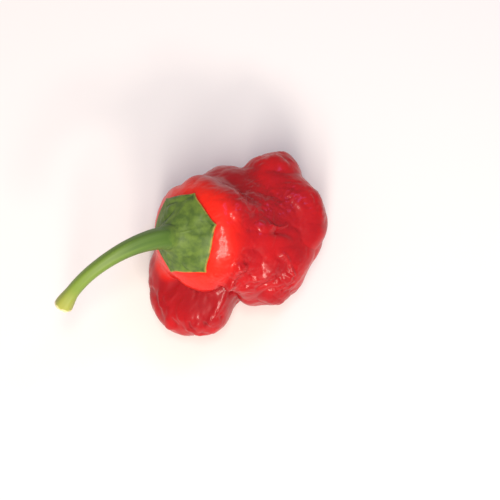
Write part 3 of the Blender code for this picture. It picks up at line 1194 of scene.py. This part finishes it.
@dataclass
class Calyx:
    """The toothed cap of leaf on the shoulder, with a collar that runs up onto the stem."""

    pod: Pod
    stem: Stem
    diameter: float = 24.0
    rim_thickness: float = 0.5
    thickness: float = 1.3
    flare_height: float = 2.4
    flare_reach: float = 0.8
    flare_curve: float = 2.4
    edge_curve: float = 3.0
    tooth_point: float = 0.7
    tooth_curve: float = 6.0
    clearance: float = 0.3
    under_rings: int = 14
    under_start: float = 0.05  # how far out the underside's first ring is, as a share of the leaf's reach
    rim_rings: int = 7
    top_rings: int = 44
    collar_rings: int = 14
    collar_height: float = 3.6
    collar_swell: float = 0.35  # how much wider than the stem the collar starts
    collar_sink: float = 0.16  # how far under the stem's skin it ends
    tooth_steps: int = 40
    vein_width: float = 1.1
    vein_start: float = 0.3  # how far out veins have sunk in
    edge_start: float = 0.85  # how far out veins and puckers start to fade towards the edge
    rim_pucker: float = 0.15  # how strong puckers are around the rim
    edge_pucker: float = 0.35  # how strong they are at the top's edge
    rounding: int = 40  # how many times the bend onto the stem is smoothed
    rounded_share: float = 0.35  # how far out that smoothing reaches

    def land(self) -> np.ndarray:
        """Where the stem grows out of the calyx, around the pod's centre."""
        outward = unit(self._foot())
        underside = outward * (self.pod.skin(outward[None, :])[0] + self.clearance)
        return underside + self.pod.axis * (self.thickness + self.flare_height)

    def build(self, material: bpy.types.Material) -> bpy.types.Object:
        """Makes the calyx's mesh, with its traits, and raises its puckers.

        Args:
            material: The leaf's material.

        Returns:
            The finished leaf, in the frame's metres.
        """
        angles, radii = self._edge()
        around = np.cos(angles)[:, None] * self.pod.across + np.sin(angles)[:, None] * self.pod.upward
        reach = radii - self.stem.base_diameter / 2
        land = self.land()
        rings, rims, puckers = [], [], []
        for share in np.linspace(self.under_start, 1.0, self.under_rings):
            rings.append(self._ring(around, reach * share, 0.0)[0])
            rims.append(share)
            puckers.append(0.0)
        half = self.rim_thickness / 2
        for turn in np.linspace(-math.pi / 2, math.pi / 2, self.rim_rings + 2)[1:-1]:
            rings.append(self._ring(around, reach + half * math.cos(turn), half * (1.0 + math.sin(turn)))[0])
            rims.append(1.0)
            puckers.append(self.rim_pucker)
        veins = self._veins(angles)
        for share in np.linspace(1.0, 0.0, self.top_rings):
            inward = 1.0 - share**self.edge_curve
            thickness = self.rim_thickness + (self.thickness - self.rim_thickness) * inward
            upper, directions = self._ring(around, reach * share, thickness)
            within = smooth_step(1.0, self.edge_start, share)
            upper -= directions * (veins * smooth_step(0.0, self.vein_start, share) * within)[:, None]
            flare = (1.0 - min(share / self.flare_reach, 1.0)) ** self.flare_curve
            rings.append(upper + ((land - upper) @ self.pod.axis)[:, None] * self.pod.axis * flare)
            rims.append(share)
            puckers.append(self.edge_pucker + (1.0 - self.edge_pucker) * float(within))
        bend = len(rings) - int(self.rounded_share * self.top_rings)
        necks = [0.0] * len(rings)
        for ring, neck in self._collar(around, land):
            rings.append(ring)
            necks.append(neck)
            rims.append(0.0)
            puckers.append(0.0)
        shape = np.array(rings)
        # Each ring moves towards its neighbours, until the top turns up onto the stem in a soft bend.
        for _ in range(self.rounding):
            shape[bend:-1] += (shape[bend - 1 : -2] + shape[bend + 1 :] - 2.0 * shape[bend:-1]) / 4
        mesh = self._skinned(shape)
        for trait, values in ((Trait.RIM, rims), (Trait.WRINKLED, puckers), (Trait.NECK, necks)):
            # The last two points are the middles of both ends.
            set_trait(mesh, trait, np.append(np.repeat(values, len(angles)), [0.0, values[-1]]))
        relief = Relief(
            "leaf_puckers",
            puff_spacing=4.2,
            puff_depth=0.22,
            ridge_spacing=1.8,
            ridge_depth=0.02,
            bend=1.5,
            patch_spacing=6.0,
            seed=9.0,
        )
        return bake(add_object("calyx_leaf", mesh), relief.tree(), relief.values(), material)

    def _foot(self) -> np.ndarray:
        """The middle of the shoulder's top, which the calyx's rings are drawn around."""
        return self.pod.shoulder + self.pod.axis * self.pod.shoulder_depth / 2

    def _ring(self, around: np.ndarray, beyond: np.ndarray, lift: float) -> tuple[np.ndarray, np.ndarray]:
        """A ring of the calyx that follows the pod's skin.

        Args:
            around: The directions out of the calyx's axis.
            beyond: How far each of the ring's points lies outside the stem's base.
            lift: How far above the calyx's underside the ring is.

        Returns:
            The ring's points and their directions from the pod's centre.
        """
        offset = self.stem.base_diameter / 2 + beyond
        directions = unit(self._foot() + around * offset[:, None])
        return directions * (self.pod.skin(directions) + self.clearance + lift)[:, None], directions

    def _collar(self, around: np.ndarray, land: np.ndarray) -> Iterator[tuple[np.ndarray, float]]:
        """Makes the rings that follow the stem out of the calyx.

        Args:
            around: The directions out of the calyx's axis.
            land: Where the stem grows out of the calyx.

        Yields:
            Each ring's points, and how far along the collar it is.
        """
        course, headings = self.stem.course(land, self.pod.axis)
        steps = self.stem.rings - 1
        last = int(self.collar_height / self.stem.length * steps)
        for index in np.linspace(1, last, self.collar_rings).astype(int):
            along = index / last
            turned = np.array(Vector(self.pod.axis).rotation_difference(Vector(headings[index])).to_matrix())
            swell = self.collar_swell * (1.0 - along) ** 2 - self.collar_sink * along**2
            radius = float(self.stem.radius(np.array(index / steps))) + swell
            yield course[index] + (around @ turned.T) * radius, along

    def _edge(self) -> tuple[np.ndarray, np.ndarray]:
        """Works out the calyx's edge: nearly straight sides between pointed teeth.

        Returns:
            Angles around the axis in radians, and the radius at each.
        """
        angles, radii = [], []
        for tooth, following in zip(TEETH, TEETH[1:] + TEETH[:1], strict=True):
            half = math.radians((following.angle - tooth.angle) % 360.0) / 2
            for step in range(self.tooth_steps):
                share = 2.0 * step / self.tooth_steps - 1.0
                corner = tooth.reach + (following.reach - tooth.reach) * (share + 1.0) / 2
                straight = corner * math.cos(half) / math.cos(half * share) + tooth.bow * (1.0 - share**2)
                angles.append(math.radians(tooth.angle) + half * (share + 1.0))
                radii.append(self.diameter / 2 * straight + self.tooth_point * abs(share) ** self.tooth_curve)
        return np.array(angles), np.array(radii)

    def _veins(self, angles: np.ndarray) -> np.ndarray:
        """Works out how deep the veins to the teeth's tips sink in, halfway out.

        Args:
            angles: Angles around the axis in radians.

        Returns:
            The depth at each.
        """
        depth = np.zeros(len(angles))
        for tooth in TEETH:
            apart = np.abs((angles - math.radians(tooth.angle) + math.pi) % (2 * math.pi) - math.pi)
            depth += tooth.vein * np.exp(-((apart * self.diameter / 4 / self.vein_width) ** 2))
        return depth

    def _skinned(self, rings: np.ndarray) -> bpy.types.Mesh:
        """Skins rings of points into one closed mesh.

        Args:
            rings: The rings' points around the pod's centre.

        Returns:
            The mesh, in the frame's metres.
        """
        shape = bmesh.new()
        rings = (rings + self.pod.centre) * MM
        loops = [[shape.verts.new(point) for point in ring] for ring in rings]
        first = shape.verts.new(rings[0].mean(axis=0))
        last = shape.verts.new(rings[-1].mean(axis=0))
        for index in range(len(rings[0])):
            beyond = (index + 1) % len(rings[0])
            shape.faces.new((first, loops[0][beyond], loops[0][index]))
            for lower, upper in zip(loops, loops[1:], strict=False):
                shape.faces.new((lower[index], lower[beyond], upper[beyond], upper[index]))
            shape.faces.new((last, loops[-1][index], loops[-1][beyond]))
        bmesh.ops.recalc_face_normals(shape, faces=shape.faces[:])
        mesh = bpy.data.meshes.new("calyx_leaf")
        shape.to_mesh(mesh)
        shape.free()
        return mesh


@dataclass(frozen=True)
class Softbox:
    """A rectangular area light that faces the pepper."""

    name: str
    azimuth: float  # from +X towards +Y
    elevation: float
    distance: float  # in metres, as its size is
    size: tuple[float, float]  # across, and along its own azimuth
    power: float
    colour: str


@dataclass
class Studio:
    """A pale floor, soft lights and the camera, with sizes in metres."""

    centre: np.ndarray  # the pod's centre, in the frame's millimetres
    # How far right of the pod's centre and above it the view's middle is, in the frame's millimetres.
    off_centre: tuple[float, float] = (2.76, -1.84)
    camera_azimuth: float = -90.0
    camera_elevation: float = 78.0
    camera_distance: float = 0.45
    half_view: float = 0.0575
    floor_size: float = 3.0
    world: str = "#fffaf8"
    world_strength: float = 0.37

    LIGHTS = (
        Softbox("key", 266.0, 64.0, 0.55, (0.085, 0.60), 3.4, "#fff4ea"),
        Softbox("front", 284.0, 37.0, 0.55, (0.13, 0.08), 0.95, "#fff0e2"),
        Softbox("sky", 50.0, 55.0, 0.60, (0.16, 0.16), 0.4, "#a898ff"),
    )

    def __post_init__(self) -> None:
        """Works out the middle of the view, which the camera and the lights face."""
        right, above = self.off_centre
        rise = math.radians(self.camera_elevation)
        self.aim = Vector((self.centre + [right, above * math.sin(rise), above * math.cos(rise)]) * MM)

    def build(self) -> None:
        """Makes the floor, the lights and the camera."""
        self._floor()
        for light in self.LIGHTS:
            self._light(light)
        world = bpy.data.worlds.new("studio")
        world.use_nodes = True
        background = world.node_tree.nodes["Background"]
        wire(background, {"Color": linear(self.world), "Strength": self.world_strength})
        bpy.context.scene.world = world
        view = bpy.context.scene.view_settings
        view.view_transform = "Standard"
        view.look = "None"
        view.exposure = 0.0
        view.gamma = 1.0
        self._camera()

    def _floor(self) -> None:
        """Lays the paper that the pepper lies on."""
        shape = bmesh.new()
        bmesh.ops.create_grid(shape, x_segments=8, y_segments=8, size=self.floor_size / 2)
        mesh = bpy.data.meshes.new("floor")
        shape.to_mesh(mesh)
        shape.free()
        mesh.materials.append(Paper().material())
        add_object("floor", mesh)

    def _light(self, softbox: Softbox) -> None:
        """Hangs one light.

        Args:
            softbox: The light.
        """
        data = bpy.data.lights.new(softbox.name, "AREA")
        data.shape = "RECTANGLE"
        data.size, data.size_y = softbox.size
        data.energy = softbox.power
        data.color = linear(softbox.colour)[:3]
        self._facing(data, softbox.azimuth, softbox.elevation, softbox.distance)

    def _camera(self) -> None:
        """Sets up the camera, which looks down along +Y."""
        data = bpy.data.cameras.new("camera")
        data.lens = data.sensor_width / 2 * self.camera_distance / self.half_view
        data.clip_start = 0.01
        camera = self._facing(data, self.camera_azimuth, self.camera_elevation, self.camera_distance)
        bpy.context.scene.camera = camera

    def _facing(
        self, data: bpy.types.ID, azimuth: float, elevation: float, distance: float
    ) -> bpy.types.Object:
        """Puts a light or a camera around the view's middle, facing it.

        Args:
            data: The light or the camera.
            azimuth: Its azimuth, seen from the middle.
            elevation: Its elevation.
            distance: How far out it is.

        Returns:
            Its object.
        """
        placed = add_object(data.name, data)
        toward = Vector(heading(math.radians(azimuth), math.radians(elevation)))
        placed.location = self.aim + toward * distance
        placed.rotation_euler = (-toward).to_track_quat("-Z", "Y").to_euler()
        return placed


def keep(piece: bpy.types.Object, node: str) -> None:
    """Puts a finished piece in the frame and reports it.

    Args:
        piece: The piece.
        node: The frame's node that it stands for.
    """
    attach(piece, "root")
    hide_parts(node)
    log.info("%s: %d faces in place of %s", piece.name, len(piece.data.polygons), node)


def main() -> None:
    """Builds and dresses the pepper's pieces and the studio around them."""
    logging.basicConfig(level=logging.INFO, format="%(message)s")
    pod = Pod()
    stem = Stem()
    calyx = Calyx(pod, stem)
    keep(pod.build(WaxySkin().material()), "pod")
    keep(calyx.build(Leaf().material()), "calyx")
    course, _ = stem.course(calyx.land(), pod.axis)
    keep(stem.build(course + pod.centre, Stalk().material(stem.length, stem.diameter / 2)), "stem")
    Studio(pod.centre).build()


if __name__ == "__main__":
    main()
